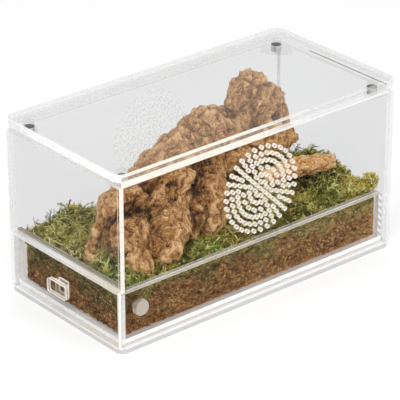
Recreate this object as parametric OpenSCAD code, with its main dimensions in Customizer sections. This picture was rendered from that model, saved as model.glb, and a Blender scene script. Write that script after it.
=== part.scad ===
// Clear acrylic reptile terrarium: a case with a lift-off magnetic lid, and a planted tray
// that slides out of its left end once the lock screw is turned back.
// X runs along the length (the drawer end is -X), Y to the back, Z up. The origin is the
// centre of the base plate's underside. All sizes are in millimetres.

/* [Case] */
// Outside length of the base, the rim and the lid
case_l = 300; // [296:1:320]
// Outside depth of the base, the rim and the lid
case_d = 150; // [148:1:160]
// Height from the base plate's underside to the top of the lid
case_h = 160; // [158:1:180]
// Radius of the upright corners of the base, the rim and the lid
corner_r = 7; // [3:0.5:9]
// Thickness of every acrylic sheet
sheet_t = 4; // [3.5:0.5:5]
// How far the walls stand in from the edge of the base
wall_inset = 1; // [0:0.5:2]
// Gap between parts that slide past each other
slide_gap = 0.3; // [0.2:0.05:0.5]

/* [Rim and lid] */
// Height of the rim ring on top of the walls
rim_h = 8; // [6:1:10]
// Width of the rim ring's band
rim_w = 5; // [5:0.5:7]
// Diameter of the disc magnets
magnet_d = 9; // [6:0.5:10]
// Thickness of each disc magnet
magnet_t = 3; // [2:0.5:3.5]
// Distance of the magnets from the case's ends
magnet_from_end = 14.6; // [13:0.2:16]
// Distance of the magnets from the case's sides
magnet_from_side = 14; // [13:0.2:16]
// Reach of each corner gusset from the inside corner
gusset_r = 20; // [19:0.5:22]

/* [Vents] */
// Height of the middle of the vent patterns
vent_z = 101.5; // [101:0.5:102]
// Distance from one ring of holes to the next
vent_pitch = 6.25; // [6:0.05:6.3]
// Diameter of each vent hole
vent_hole_d = 3.8; // [3:0.1:4]

/* [Drawer] */
// Height of the seam between the drawer's front and the panel above it
seam_z = 55.5; // [54:0.5:57]
// Height of the tray's top edge
tray_top = 50.5; // [48:0.5:51]
// Width of the pull's grip
grip_w = 25; // [20:1:30]
// Height of the pull
grip_h = 12.5; // [10:0.5:15]
// How far the pull stands out from the drawer's front
pull_reach = 9; // [8.5:0.5:9.5]
// Width of the pull's stem
stem_w = 12; // [10:0.5:14]
// Height of the middle of the pull
pull_z = 32.5; // [30:0.5:34]

/* [Lock screw] */
// Distance of the lock screw from the drawer end of the walls
lock_from_end = 18.2; // [17:0.2:22]
// Height of the lock screw
lock_z = 38.7; // [34:0.1:40]
// Diameter of the lock screw's shank
shank_d = 4; // [3:0.5:4]
// Diameter of the knurled knob
knob_d = 14; // [12:0.5:16]
// Thickness of the knurled knob
knob_t = 4.4; // [4:0.1:5]

/* [Planting] */
// Top of the substrate
substrate_top = 44; // [40:0.5:45]
// Top of the moss where it lies flat
moss_top = 50; // [48:0.5:51]
// Steps along the length of the moss carpet's surface
moss_steps = 40; // [20:2:44]
// Sections along the driftwood
wood_sections = 76; // [40:2:80]
// Points round each section of the driftwood
wood_sides = 60; // [36:4:64]

/* [Hidden] */

// Case
end_x = case_l/2 - wall_inset;
side_y = case_d/2 - wall_inset;
inner_x = end_x - sheet_t;
inner_y = side_y - sheet_t;
wall_z0 = sheet_t;
lid_z = case_h - sheet_t;
rim_z = lid_z - rim_h;
wall_h = rim_z - wall_z0;

// Magnets, with the lid's and the frame's a hair apart
magnet_x = case_l/2 - magnet_from_end;
magnet_y = case_d/2 - magnet_from_side;
magnet_gap = 0.1;
gusset_t = magnet_t + 1.5;
pocket_play = 0.05;

// Vents: how many holes each ring has, from the middle outwards
vent_rings = [8, 16, 16, 32, 32, 32];

// Drawer. The tray runs on two strips and under two rails
runner_t = 1.5;
runner_w = 8;
runner_y = 50;
runner_margin = 9;
tray_z = wall_z0 + runner_t + 0.1;
tray_y = inner_y - 2*slide_gap;
tray_right_x = inner_x - 4*slide_gap;
tray_floor_top = tray_z + sheet_t;
rail_z = tray_top + 0.5;
rail_h = 3;
rail_w = sheet_t + 0.4;
rail_x0 = -117;
rail_x1 = 113;
strip_over = 2;

// Pull
grip_t = sheet_t;
grip_corner = 2.2;

// Lock screw
lock_x = -end_x + lock_from_end;
bush_d = 8;
bush_flange_d = 10;
bush_flange_t = 0.4;
bore_play = 0.05;
shank_tip_gap = 0.1;
shank_in_knob = 2.3;
knurls = 40;
knurl_depth = 0.35;
knob_face_t = 0.5;

// Planting
soil_play = 0.3;
// Mounds of moss: [x, y, reach, height]
mounds = [[-122, 60, 26, 12], [-92, 60, 22, 12], [122, 6, 24, 14], [132, -22, 20, 10],
          [134, -48, 16, 6], [-118, -50, 20, 5], [60, -48, 34, 4], [66, 2, 26, 9]];
tuft = [137, -58, 59, 7];
// Limbs of the wood: stations along each, [x, y, z, radius]
ridge = [[-117, -6, 51, 14], [-109, -4, 60, 15], [-101, -1, 72, 12], [-97, 3, 90, 12],
         [-84, 6, 89, 13], [-56, 18, 79, 21], [-34, 23, 83, 20], [-14, 27, 89, 24],
         [6, 30, 94, 23], [20, 33, 96, 21], [32, 36, 104, 23], [58, 38, 99, 21],
         [80, 40, 104, 18]];
peak = [[50, 34, 88, 18], [64, 38, 106, 12], [78, 42, 121, 13], [86, 45, 129.5, 12],
        [97, 45, 129, 11.5]];
shoulder = [[70, 36, 94, 16], [88, 38, 108, 17], [102, 38, 115, 15], [109, 38, 116, 12],
            [112, 34, 102, 10], [116, 29, 89, 7], [122, 24, 78, 4]];
overhang = [[40, 28, 86, 18], [66, 26, 84, 16], [92, 24, 82, 14], [112, 22, 80, 10],
            [122, 21, 78, 5]];
left_foot = [[-60, 14, 78, 20], [-84, -4, 71, 20], [-98, -24, 63, 18], [-108, -45, 51, 13]];
mid_foot = [[-18, 14, 84, 20], [-44, -6, 75, 21], [-64, -26, 66, 19], [-78, -44, 56, 15]];
web = [[-14, 6, 74, 16], [-28, -14, 66, 14], [-38, -30, 58, 9]];
front_foot = [[18, 22, 88, 20], [6, 4, 76, 18], [-6, -14, 66, 15], [-16, -30, 55, 11]];
right_foot = [[34, 38, 84, 18], [52, 44, 66, 14], [62, 46, 48, 12]];
wood_limbs = [ridge, peak, shoulder, overhang, left_foot, mid_foot, web, front_foot,
              right_foot];
balls_per_station = 4;
// Hollows in the wood: [x, y, z, reach, depth]
hollows = [[-88, -14, 88, 10, 11], [-76, -15, 87, 9, 10], [-64, -22, 88, 7, 8],
           [-51, -25, 89, 7, 9], [-45, -17, 94, 7, 10], [-39, -11, 97, 7, 9],
           [-19, -12, 83, 8, 10], [-7, 0, 93, 9, 11], [5, 0, 96, 9, 11], [-58, 5, 98, 8, 8],
           [-34, -29, 71, 8, 9], [-35, -37, 62, 7, 8], [-107, -7, 84, 9, 7],
           [-117, -8, 75, 7, 5], [-118, -15, 68, 7, 5], [57, 32, 120, 8, 6]];
// The line inside the wood that its sections are drawn round, as depth and height by x
spine_y = [[-131, -7], [-90, 4], [-56, 14], [-14, 24], [26, 30], [58, 34], [80, 37],
           [104, 34], [118, 26], [128, 23]];
spine_z = [[-131, 50], [-108, 62], [-90, 68], [-56, 74], [-14, 86], [26, 92], [58, 96],
           [80, 104], [104, 106], [112, 96], [118, 84], [128, 77.5]];
wood_x0 = -130.4;
wood_x1 = 127;
// Radius under which the folds grow weaker, so that thin tips stay whole
fold_fade = 14;
log_limb = [[64, -2, 65, 6], [84, -9, 68.5, 8], [110, -16, 70, 8.5], [131, -20, 67, 6.5]];
log_sides = 16;
log_rings_per_station = 3;

// A flat slab with rounded upright corners, centred on Z
module rounded_slab(l, d, t, r) {
    translate([-l/2 + r, -d/2, 0]) cube([l - 2*r, d, t]);
    translate([-l/2, -d/2 + r, 0]) cube([l, d - 2*r, t]);
    for (sx = [-1, 1], sy = [-1, 1])
        translate([sx*(l/2 - r), sy*(d/2 - r), 0]) cylinder(r = r, h = t, $fn = 48);
}

// A block between two opposite corners
module block(lo, hi) {
    translate(lo) cube(hi - lo);
}

// Repeats its children at the four magnets
module at_magnets(z) {
    for (sx = [-1, 1], sy = [-1, 1])
        translate([sx*magnet_x, sy*magnet_y, z]) children();
}

// One vent's holes: one in the middle and rings round it, each with a hole straight above
module vent_holes() {
    circle(d = vent_hole_d, $fn = 24);
    for (ring = [0:len(vent_rings) - 1], k = [0:vent_rings[ring] - 1])
        rotate(90 + 360*k/vent_rings[ring])
            translate([(ring + 1)*vent_pitch, 0]) circle(d = vent_hole_d, $fn = 24);
}

// A long wall as it is cut from sheet: a step at the drawer end leaves room for the upper panel
module wall_outline() {
    difference() {
        union() {
            translate([-end_x, wall_z0]) square([2*end_x, seam_z - slide_gap/2 - wall_z0]);
            translate([-inner_x + slide_gap, wall_z0])
                square([end_x + inner_x - slide_gap, wall_h]);
        }
        translate([0, vent_z]) vent_holes();
    }
}

// Stands a sheet that is drawn flat up on its lower edge, with its outer face at y
module upright(y) {
    translate([0, y + sheet_t, 0]) rotate([90, 0, 0]) linear_extrude(sheet_t) children();
}

// A point on the smooth curve through stations p, at t stations along it
function on_curve(p, t) =
    let (n = len(p) - 1,
         i = min(floor(t), n - 1),
         f = t - i,
         a = p[max(i - 1, 0)],
         b = p[i],
         c = p[i + 1],
         d = p[min(i + 2, n)])
    0.5*(2*b + (c - a)*f + (2*a - 5*b + 4*c - d)*f*f + (3*b - a - 3*c + d)*f*f*f);

function unit(v) = v/norm(v);

function place(q) = [q[0], q[1], q[2]];

// How far the log's surface stands in or out of round, at an angle and a distance along it
function gnarl(angle, way) =
    1 + 0.05*sin(3*angle + 5*way) + 0.035*sin(5*angle - 9*way) + 0.025*sin(9*angle + 13*way);

// How far the wood stands out of its limbs at a place: broad and narrow ribs that run down the
// feet, and lumps, less the hollows. s runs across the feet and t is height, both bent
function folds(x, y, z) =
    let (s = 0.75*x - 0.66*y + 12*sin(1.7*x + 2.3*z + 30) + 5*sin(3*x + 6*y - 4*z),
         t = z + 8*sin(3*x - 4*y) + 4*sin(9*x + 5*y),
         broad = 2.4*(abs(sin(8*s + 3*t)) - 0.9),
         narrow = 1.3*(abs(sin(17*s - 7*t + 50)) - 0.9),
         lumps = 2.6*sin(5*x - 6*t + 20)*sin(6*y + 5*z),
         dents = [for (h = hollows)
             h[4]*exp(-(pow(x - h[0], 2) + pow(y - h[1], 2) + pow(z - h[2], 2))/pow(h[3], 2))])
    broad + narrow + lumps - dents*[for (h = hollows) 1];

// Joins rings of points, each with the same number of sides, into a closed skin
module skin(rings, sides) {
    last = (len(rings) - 1)*sides;
    faces = concat(
        [[for (k = [0:sides - 1]) k]],
        [[for (k = [sides - 1:-1:0]) last + k]],
        [for (i = [0:len(rings) - 2], k = [0:sides - 1])
            let (a = i*sides + k, b = i*sides + (k + 1) % sides)
            each [[a, a + sides, b], [b, a + sides, b + sides]]]);
    polyhedron([for (ring = rings) each ring], faces);
}

// One ring of points round the log, square to its path
function log_ring(t) =
    let (n = len(log_limb) - 1,
         q = on_curve(log_limb, t),
         ahead = place(on_curve(log_limb, min(t + 0.01, n))),
         behind = place(on_curve(log_limb, max(t - 0.01, 0))),
         along = unit(ahead - behind),
         side = unit(cross(along, [0, 1, 0])),
         up = cross(side, along))
    [for (k = [0:log_sides - 1])
        let (angle = 360*k/log_sides)
        place(q) + q[3]*gnarl(angle, 15*t)*(cos(angle)*side + sin(angle)*up)];

// Balls strung closely along every limb of the wood: [x, y, z, radius]
function wood_balls() =
    [for (p = wood_limbs, i = [0:(len(p) - 1)*balls_per_station])
        on_curve(p, i/balls_per_station)];

// Distance from a section's middle to the far side of the circles it cuts, [y, z, radius^2]
function reach(circles, mid, angle) =
    max([for (c = circles)
        let (dy = c[0] - mid[0],
             dz = c[1] - mid[1],
             along = dy*cos(angle) + dz*sin(angle),
             rest = along*along - dy*dy - dz*dz + c[2])
        rest > 0 ? along + sqrt(rest) : 0]);

// The wood's outline where a plane across the case cuts it, flat where it meets the substrate
function wood_ring(balls, x) =
    let (mid = [lookup(x, spine_y), lookup(x, spine_z)],
         circles = [for (b = balls)
             let (left = b[3]*b[3] - pow(x - b[0], 2))
             if (left > 0) [b[1], b[2], left]])
    [for (k = [0:wood_sides - 1])
        let (angle = 360*k/wood_sides,
             limb = reach(circles, mid, angle),
             fold = folds(x, mid[0] + limb*cos(angle), mid[1] + limb*sin(angle)),
             free = max(1, limb + fold*min(1, limb/fold_fade)),
             drop = mid[1] - substrate_top,
             r = -sin(angle)*free > drop ? -drop/sin(angle) : free)
        [x, mid[0] + r*cos(angle), mid[1] + r*sin(angle)]];

// Height of the moss over a place on the tray
function moss_z(x, y) =
    let (lifts = [for (m = mounds)
        m[3]*exp(-(pow(x - m[0], 2) + pow(y - m[1], 2))/pow(m[2], 2))],
         ripple = 0.8*sin(9*x + 4*y) + 0.7*sin(13*y - 5*x))
    moss_top + lifts*[for (m = mounds) 1] + ripple;

module base_plate() {
    color("gainsboro") rounded_slab(case_l, case_d, sheet_t, corner_r);
}

// Two strips on the base that the tray slides on
module base_runners() {
    color("white")
        for (s = [-1, 1])
            translate([-inner_x + runner_margin, s*runner_y - runner_w/2, wall_z0])
                cube([2*(inner_x - runner_margin), runner_w, runner_t]);
}

module front_wall() {
    color("lightcyan", 0.4)
        difference() {
            upright(-side_y) wall_outline();
            translate([lock_x, -side_y - 1, lock_z]) rotate([-90, 0, 0])
                cylinder(d = bush_d, h = sheet_t + 2, $fn = 48);
        }
}

module back_wall() {
    color("lightcyan", 0.4) upright(inner_y) wall_outline();
}

module right_end_wall() {
    color("lightcyan", 0.4) block([inner_x, -inner_y, wall_z0], [end_x, inner_y, rim_z]);
}

// One ring cut from thick sheet, cemented on top of the walls; the lid lies on it
module top_rim() {
    color("white")
        translate([0, 0, rim_z])
            difference() {
                rounded_slab(case_l, case_d, rim_h, corner_r);
                translate([0, 0, -1])
                    rounded_slab(case_l - 2*rim_w, case_d - 2*rim_w, rim_h + 2, 2);
            }
}

// A quarter disc in each inside corner under the rim, with a pocket for a magnet
module corner_gussets() {
    color("white")
        difference() {
            for (sx = [-1, 1], sy = [-1, 1])
                intersection() {
                    translate([sx*inner_x, sy*inner_y, rim_z - gusset_t])
                        cylinder(r = gusset_r, h = gusset_t, $fn = 64);
                    block([sx < 0 ? -inner_x + slide_gap : 0, sy < 0 ? -inner_y : 0, 0],
                          [sx < 0 ? 0 : inner_x, sy < 0 ? 0 : inner_y, rim_z]);
                }
            at_magnets(rim_z - magnet_t)
                cylinder(d = magnet_d + 2*pocket_play, h = magnet_t + 1, $fn = 48);
        }
}

module frame_magnets() {
    color("black")
        at_magnets(rim_z - magnet_t) cylinder(d = magnet_d, h = magnet_t, $fn = 48);
}

// Strips on the long walls that hold the tray's edges down
module guide_rails() {
    color("white") {
        block([rail_x0, -inner_y, rail_z], [rail_x1, -inner_y + rail_w, rail_z + rail_h]);
        block([rail_x0, inner_y - rail_w, rail_z], [rail_x1, inner_y, rail_z + rail_h]);
    }
}

// Flanged threaded sleeve in the front wall
module lock_bush() {
    color("silver")
        translate([lock_x, -side_y, lock_z]) rotate([-90, 0, 0])
            difference() {
                union() {
                    cylinder(d = bush_d, h = sheet_t, $fn = 48);
                    translate([0, 0, -bush_flange_t])
                        cylinder(d = bush_flange_d, h = bush_flange_t, $fn = 48);
                }
                translate([0, 0, -1])
                    cylinder(d = shank_d + 2*bore_play, h = sheet_t + 2, $fn = 48);
            }
}

module lid_plate() {
    color("lightcyan", 0.4)
        translate([0, 0, lid_z]) rounded_slab(case_l, case_d, sheet_t, corner_r);
}

// Clear posts under the lid that carry its magnets down to the gussets
module lid_spacers() {
    post_z = rim_z + magnet_gap + magnet_t;
    color("lightcyan", 0.6)
        at_magnets(post_z) cylinder(d = magnet_d, h = lid_z - post_z, $fn = 48);
}

module lid_magnets() {
    color("black")
        at_magnets(rim_z + magnet_gap) cylinder(d = magnet_d, h = magnet_t, $fn = 48);
}

module drawer_front() {
    color("lightcyan", 0.5)
        block([-end_x, -inner_y + slide_gap, wall_z0 + slide_gap],
              [-inner_x, inner_y - slide_gap, seam_z]);
}

// Strip behind the seam that ties the drawer's front to the panel above it
module seam_strip() {
    color("white")
        block([-inner_x, -tray_y, tray_top], [-inner_x + sheet_t, tray_y, seam_z + strip_over]);
}

module upper_end_panel() {
    color("lightcyan", 0.4)
        block([-end_x, -side_y, seam_z + slide_gap/2], [-inner_x, side_y, rim_z - slide_gap]);
}

module tray_floor() {
    color("lightcyan", 0.5)
        block([-inner_x, -tray_y, tray_z], [tray_right_x, tray_y, tray_floor_top]);
}

// A long side of the tray, between its two ends
module tray_side(y) {
    color("lightcyan", 0.5)
        block([-inner_x + sheet_t, y, tray_floor_top],
              [tray_right_x - sheet_t, y + sheet_t, tray_top]);
}

module tray_front_side() {
    tray_side(-tray_y);
}

module tray_back_side() {
    tray_side(tray_y - sheet_t);
}

// An end of the tray, across its full width
module tray_end(x) {
    color("lightcyan", 0.5)
        block([x, -tray_y, tray_floor_top], [x + sheet_t, tray_y, tray_top]);
}

module tray_left_end() {
    tray_end(-inner_x);
}

module tray_right_end() {
    tray_end(tray_right_x - sheet_t);
}

// Outer plate of the pull, with its corners rounded
module handle_grip() {
    color("lightcyan", 0.7)
        translate([-end_x - pull_reach, 0, pull_z]) rotate([90, 0, 90])
            rounded_slab(grip_w, grip_h, grip_t, grip_corner);
}

// Block that holds the pull's plate off the drawer's front
module handle_stem() {
    color("lightcyan", 0.7)
        block([-end_x - pull_reach + grip_t, -stem_w/2, pull_z - grip_h/2],
              [-end_x, stem_w/2, pull_z + grip_h/2]);
}

module substrate_bed() {
    soil_y = tray_y - sheet_t - soil_play;
    color("saddlebrown")
        block([-inner_x + sheet_t + soil_play, -soil_y, tray_floor_top],
              [tray_right_x - sheet_t - soil_play, soil_y, substrate_top]);
}

// Moss packed over the substrate, with mounds along the back and at the right end
module moss_carpet() {
    x0 = -inner_x + sheet_t + soil_play;
    x1 = tray_right_x - sheet_t - soil_play;
    y1 = tray_y - sheet_t - soil_play;
    rows = moss_steps/2;
    wide = moss_steps + 1;
    function across(i) = x0 + (x1 - x0)*i/moss_steps;
    function back(j) = -y1 + 2*y1*j/rows;
    border = concat([for (i = [0:moss_steps - 1]) i],
                    [for (j = [0:rows - 1]) j*wide + moss_steps],
                    [for (i = [moss_steps:-1:1]) rows*wide + i],
                    [for (j = [rows:-1:1]) j*wide]);
    surface = [for (j = [0:rows], i = [0:moss_steps])
        [across(i), back(j), moss_z(across(i), back(j))]];
    foot = [for (b = border) [surface[b][0], surface[b][1], substrate_top]];
    n = len(surface);
    m = len(border);
    faces = concat(
        [for (j = [0:rows - 1], i = [0:moss_steps - 1])
            let (a = j*wide + i)
            each [[a, a + wide, a + 1], [a + 1, a + wide, a + wide + 1]]],
        [for (k = [0:m - 1])
            let (l = (k + 1) % m)
            each [[border[k], border[l], n + k], [border[l], n + l, n + k],
                  [n + k, n + l, n + m]]]);
    color("olivedrab") polyhedron(concat(surface, foot, [[0, 0, substrate_top]]), faces);
}

module yellow_moss_tuft() {
    color("yellowgreen") translate(place(tuft)) sphere(r = tuft[3], $fn = 32);
}

// The driftwood, a skin over sections across its limbs
module wood_main() {
    balls = wood_balls();
    color("peru")
        skin([for (i = [0:wood_sections])
                  wood_ring(balls, wood_x0 + (wood_x1 - wood_x0)*i/wood_sections)],
             wood_sides);
}

module small_log() {
    rings = (len(log_limb) - 1)*log_rings_per_station;
    color("chocolate") skin([for (i = [0:rings]) log_ring(i/log_rings_per_station)], log_sides);
}

// Plain shank of the lock screw, its tip just clear of the tray's side
module lock_shank() {
    tip_y = -tray_y - shank_tip_gap;
    head_y = -side_y - bush_flange_t - 0.2 - shank_in_knob;
    color("silver")
        translate([lock_x, head_y, lock_z]) rotate([-90, 0, 0])
            cylinder(d = shank_d, h = tip_y - head_y, $fn = 48);
}

// Knurled head of the lock screw, with a smooth raised face
module lock_knob() {
    back_y = -side_y - bush_flange_t - 0.2;
    color("tan")
        translate([lock_x, back_y, lock_z]) rotate([90, 0, 0])
            difference() {
                union() {
                    linear_extrude(knob_t - knob_face_t)
                        polygon([for (k = [0:2*knurls - 1])
                            (knob_d/2 - (k % 2)*knurl_depth)
                                *[cos(180*k/knurls), sin(180*k/knurls)]]);
                    cylinder(d = knob_d - 1, h = knob_t, $fn = 64);
                }
                translate([0, 0, -1])
                    cylinder(d = shank_d + 2*bore_play, h = shank_in_knob + 1.1, $fn = 48);
            }
}

base_plate();
base_runners();
front_wall();
back_wall();
right_end_wall();
top_rim();
corner_gussets();
frame_magnets();
guide_rails();
lock_bush();
lid_plate();
lid_spacers();
lid_magnets();
drawer_front();
seam_strip();
upper_end_panel();
tray_floor();
tray_front_side();
tray_back_side();
tray_left_end();
tray_right_end();
handle_grip();
handle_stem();
substrate_bed();
moss_carpet();
yellow_moss_tuft();
wood_main();
small_log();
lock_shank();
lock_knob();
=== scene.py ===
import bpy
import numpy as np
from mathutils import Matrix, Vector


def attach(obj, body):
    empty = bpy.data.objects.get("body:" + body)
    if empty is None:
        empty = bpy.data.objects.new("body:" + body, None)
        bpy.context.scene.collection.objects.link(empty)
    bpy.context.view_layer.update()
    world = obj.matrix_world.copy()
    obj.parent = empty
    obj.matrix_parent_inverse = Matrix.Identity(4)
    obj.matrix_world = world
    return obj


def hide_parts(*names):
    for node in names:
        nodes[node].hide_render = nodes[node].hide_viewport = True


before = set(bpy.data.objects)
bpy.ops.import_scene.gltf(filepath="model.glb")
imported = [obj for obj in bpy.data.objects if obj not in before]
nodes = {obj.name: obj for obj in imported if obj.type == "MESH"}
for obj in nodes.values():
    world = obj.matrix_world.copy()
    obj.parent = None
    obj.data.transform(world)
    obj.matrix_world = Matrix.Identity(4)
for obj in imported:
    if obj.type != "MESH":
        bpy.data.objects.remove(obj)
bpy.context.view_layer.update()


# Camera
# A long lens looks down on the drawer end and on the wall with the lock screw, from the
# distance and height that the photograph's converging edges give. The aim and the distance
# are in metres.
AZIMUTH = np.radians(-40.17)
ELEVATION = np.radians(26.24)
CAMERA_DISTANCE = 2.022
AIM = Vector((-0.0041, 0.0, 0.065))
LENS_MM = 214.6
# How many clear surfaces one line of sight may cross
SHEETS_IN_LINE = 48

towards_camera = Vector((
    np.sin(AZIMUTH) * np.cos(ELEVATION),
    -np.cos(AZIMUTH) * np.cos(ELEVATION),
    np.sin(ELEVATION),
))
camera_data = bpy.data.cameras.new("camera")
camera_data.lens = LENS_MM
camera_data.clip_end = 10 * CAMERA_DISTANCE
camera = bpy.data.objects.new("camera", camera_data)
camera.location = AIM + towards_camera * CAMERA_DISTANCE
camera.rotation_euler = (-towards_camera).to_track_quat("-Z", "Y").to_euler()
bpy.context.scene.collection.objects.link(camera)
bpy.context.scene.camera = camera
bpy.context.scene.view_settings.view_transform = "Standard"
bpy.context.scene.cycles.transparent_max_bounces = SHEETS_IN_LINE


# Studio
# A white sweep under the box and three large soft lamps: one over the drawer end, one in
# front of the lock screw's wall and a weak one behind. The world fills the shadows.
WHITE = (1.0, 1.0, 1.0, 1.0)
FLOOR_WHITE = (0.93, 0.93, 0.93, 1.0)
FLOOR_SIZE = 12.0
FLOOR_GLOW_SHARE = 0.62
WORLD_FILL = 0.62
# Each lamp's name, place, width and watts
LAMPS = [("key_lamp", (-0.9, -0.5, 1.3), 0.7, 13.0),
         ("front_lamp", (0.5, -1.5, 0.8), 1.0, 9.0),
         ("back_lamp", (0.5, 0.9, 2.0), 0.8, 8.0)]


class Signal:
    """A shader socket that Python expressions can be written on: each operator adds a Math
    node, and a plain number stays a number."""

    def __init__(self, tree, socket):
        self.tree = tree
        self.socket = socket

    def _math(self, operation, *values, clamp=False):
        node = self.tree.nodes.new("ShaderNodeMath")
        node.operation = operation
        node.use_clamp = clamp
        for place, value in zip(node.inputs, values):
            connect(self.tree, value, place)
        return Signal(self.tree, node.outputs[0])

    def __add__(self, other):
        return self._math("ADD", self, other)

    def __radd__(self, other):
        return self._math("ADD", other, self)

    def __sub__(self, other):
        return self._math("SUBTRACT", self, other)

    def __rsub__(self, other):
        return self._math("SUBTRACT", other, self)

    def __mul__(self, other):
        return self._math("MULTIPLY", self, other)

    def __rmul__(self, other):
        return self._math("MULTIPLY", other, self)

    def __pow__(self, other):
        return self._math("POWER", self, other)

    def __abs__(self):
        return self._math("ABSOLUTE", self)

    def __gt__(self, other):
        return self._math("GREATER_THAN", self, other)

    def __lt__(self, other):
        return self._math("LESS_THAN", self, other)

    def sine(self):
        """The sine of an angle in radians."""
        return self._math("SINE", self)

    def clamped(self):
        """The value, kept from 0 to 1."""
        return self._math("ADD", self, 0.0, clamp=True)

    def ramp_between(self, low, high):
        """0 below low, 1 above high and straight between them."""
        return ((self - low) * (1.0 / (high - low))).clamped()


def connect(tree, value, place):
    """Links a Signal or socket to an input, or sets the input to a plain value."""
    if isinstance(value, Signal):
        tree.links.new(value.socket, place)
    elif isinstance(value, bpy.types.NodeSocket):
        tree.links.new(value, place)
    else:
        place.default_value = value


class Finish:
    """A material under construction: node() adds any node, and the rest are its usual ones."""

    def __init__(self, name):
        self.material = bpy.data.materials.new(name)
        self.material.use_nodes = True
        self.tree = self.material.node_tree
        self.tree.nodes.clear()
        self.output = self.tree.nodes.new("ShaderNodeOutputMaterial")

    def node(self, kind, settings=None, stops=None, out=0, **inputs):
        """A node of this kind, its settings set first and its inputs linked or set by name."""
        node = self.tree.nodes.new("ShaderNode" + kind)
        for key, value in (settings or {}).items():
            setattr(node, key, value)
        if stops:
            ramp = node.color_ramp
            while len(ramp.elements) < len(stops):
                ramp.elements.new(0.5)
            for element, (position, colour) in zip(ramp.elements, stops):
                element.position = position
                element.color = (*colour, 1.0)
        for key, value in inputs.items():
            connect(self.tree, value, node.inputs[key.replace("_", " ")])
        return Signal(self.tree, node.outputs[out])

    def place(self, scale=(1.0, 1.0, 1.0), turn=(0.0, 0.0, 0.0)):
        """Object coordinates, turned and then scaled."""
        coords = self.tree.nodes.new("ShaderNodeTexCoord")
        mapping = self.tree.nodes.new("ShaderNodeMapping")
        mapping.inputs["Rotation"].default_value = turn
        mapping.inputs["Scale"].default_value = scale
        self.tree.links.new(coords.outputs["Object"], mapping.inputs["Vector"])
        return mapping.outputs["Vector"]

    def noise(self, vector, scale=1.0, detail=4.0, roughness=0.55, distortion=0.0):
        """Fractal noise from 0 to 1."""
        return self.node("TexNoise", Vector=vector, Scale=scale, Detail=detail,
                         Roughness=roughness, Distortion=distortion)

    def kept(self, name):
        """The number that the mesh keeps by this name for each of its points."""
        return self.node("Attribute", {"attribute_name": name}, out=2)

    def axis_of(self, output, axis):
        """One component, by index, of a texture coordinate such as Object or Normal."""
        coords = self.tree.nodes.new("ShaderNodeTexCoord")
        split = self.tree.nodes.new("ShaderNodeSeparateXYZ")
        self.tree.links.new(coords.outputs[output], split.inputs[0])
        return Signal(self.tree, split.outputs[axis])

    def blend(self, factor, low, high):
        """Colours mixed by a factor."""
        node = self.tree.nodes.new("ShaderNodeMix")
        node.data_type = "RGBA"
        for value, place in ((factor, node.inputs[0]), (low, node.inputs[6]),
                             (high, node.inputs[7])):
            if isinstance(value, tuple) and len(value) == 3:
                value = (*value, 1.0)
            connect(self.tree, value, place)
        return Signal(self.tree, node.outputs[2])

    def bump(self, height, strength, distance):
        """A normal bent by a height given as a share of distance."""
        return self.node("Bump", Height=height, Strength=strength, Distance=distance)

    def shaders(self, factor, first, second):
        """Two shaders mixed by a factor."""
        node = self.tree.nodes.new("ShaderNodeMixShader")
        connect(self.tree, factor, node.inputs[0])
        connect(self.tree, first, node.inputs[1])
        connect(self.tree, second, node.inputs[2])
        return Signal(self.tree, node.outputs[0])

    def done(self, surface):
        """Puts the surface on the output and gives back the material."""
        connect(self.tree, surface, self.output.inputs["Surface"])
        return self.material


def seen(tree):
    """1 for rays that come from the camera, or that metal mirrors and glass lets through."""
    path = tree.nodes.new("ShaderNodeLightPath")
    straight, mirrored, through = (Signal(tree, path.outputs[f"Is {ray} Ray"])
                                   for ray in ("Camera", "Glossy", "Transmission"))
    return (straight + mirrored + through).clamped()


def sweep_finish():
    """White floor: part of it glows where it is seen, and the rest takes the box's shadow."""
    f = Finish("studio_sweep")
    lit = f.node("BsdfDiffuse", Color=FLOOR_WHITE)
    glow = f.node("Emission", Color=WHITE, Strength=1.0)
    return f.done(f.shaders(seen(f.tree) * FLOOR_GLOW_SHARE, lit, glow))


half = FLOOR_SIZE / 2
floor_mesh = bpy.data.meshes.new("studio_floor")
floor_mesh.from_pydata([(-half, -half, 0), (half, -half, 0), (half, half, 0), (-half, half, 0)],
                       [], [(0, 1, 2, 3)])
floor_mesh.materials.append(sweep_finish())
floor = bpy.data.objects.new("studio_floor", floor_mesh)
bpy.context.scene.collection.objects.link(floor)

world = bpy.data.worlds.new("studio")
bpy.context.scene.world = world
world.use_nodes = True
sky = world.node_tree
sky.nodes.clear()
mix = sky.nodes.new("ShaderNodeMixShader")
connect(sky, seen(sky), mix.inputs[0])
for place, strength in ((mix.inputs[1], WORLD_FILL), (mix.inputs[2], 1.0)):
    backdrop = sky.nodes.new("ShaderNodeBackground")
    backdrop.inputs["Color"].default_value = WHITE
    backdrop.inputs["Strength"].default_value = strength
    connect(sky, backdrop.outputs[0], place)
world_out = sky.nodes.new("ShaderNodeOutputWorld")
sky.links.new(mix.outputs[0], world_out.inputs["Surface"])


def soft_lamp(name, place, size, watts):
    """A square area lamp that faces the middle of the box."""
    data = bpy.data.lights.new(name, "AREA")
    data.shape = "SQUARE"
    data.size = size
    data.energy = watts
    lamp = bpy.data.objects.new(name, data)
    lamp.location = place
    lamp.rotation_euler = (AIM - Vector(place)).to_track_quat("-Z", "Y").to_euler()
    bpy.context.scene.collection.objects.link(lamp)


for lamp_row in LAMPS:
    soft_lamp(*lamp_row)


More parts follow.
